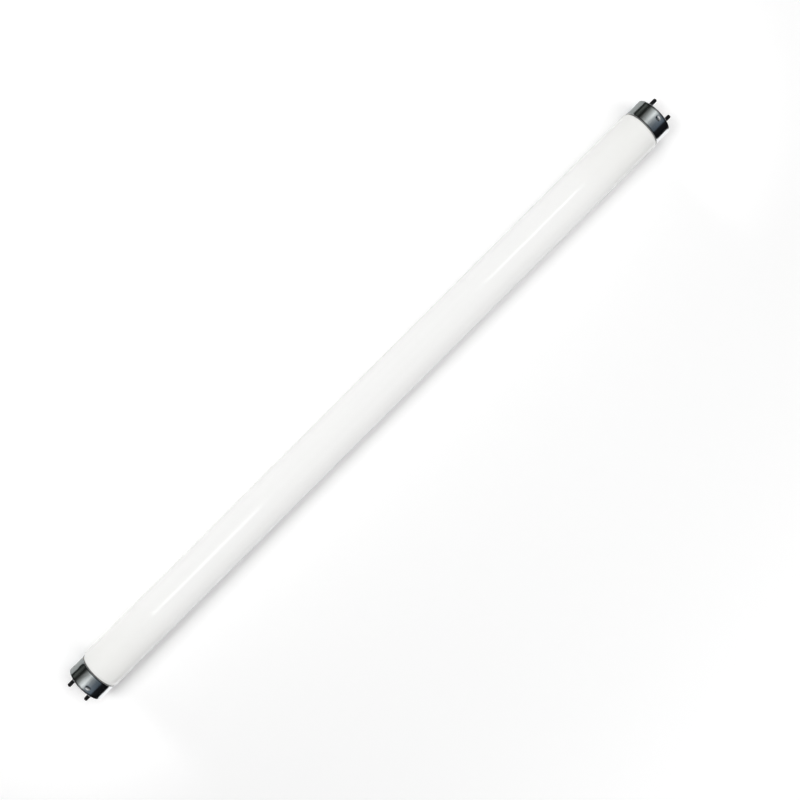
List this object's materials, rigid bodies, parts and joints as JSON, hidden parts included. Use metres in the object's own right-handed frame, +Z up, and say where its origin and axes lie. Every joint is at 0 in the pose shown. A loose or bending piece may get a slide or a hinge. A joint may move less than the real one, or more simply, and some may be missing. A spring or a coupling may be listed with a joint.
{
  "type": "fluorescent tube",
  "caption": "Straight white fluorescent tube: a sealed, coated glass barrel with necked ends, each closed by a slim drawn metal cap that carries contact pins.",
  "frame": {"origin": "on the lamp's axis, midway between the two cap faces", "axes": "+X along the lamp to its right cap, +Y along the line of the pins to the rear pins, +Z up"},
  "size_m": [0.4842, 0.026, 0.026],
  "materials": {
    "coated_glass": "smooth soda-lime glass with a white phosphor coat behind it",
    "cap_aluminium": "bright drawn",
    "phenolic_board": "punched laminate",
    "pin_brass": "turned, dulled plating",
    "lead_wire": "drawn wire",
    "basing_cement": "cured, grainy"
  },
  "bodies": {
    "root": {"glass_tube": "coated_glass", "cap_shell_left": "cap_aluminium", "cap_shell_right": "cap_aluminium", "pin_plate_left": "phenolic_board", "pin_plate_right": "phenolic_board", "contact_pin_left_front": "pin_brass", "contact_pin_left_rear": "pin_brass", "contact_pin_right_front": "pin_brass", "contact_pin_right_rear": "pin_brass", "lead_wire_left_front": "lead_wire", "lead_wire_left_rear": "lead_wire", "lead_wire_right_front": "lead_wire", "lead_wire_right_rear": "lead_wire", "cement_ring_left": "basing_cement", "cement_ring_right": "basing_cement"}
  },
  "joints": []
}
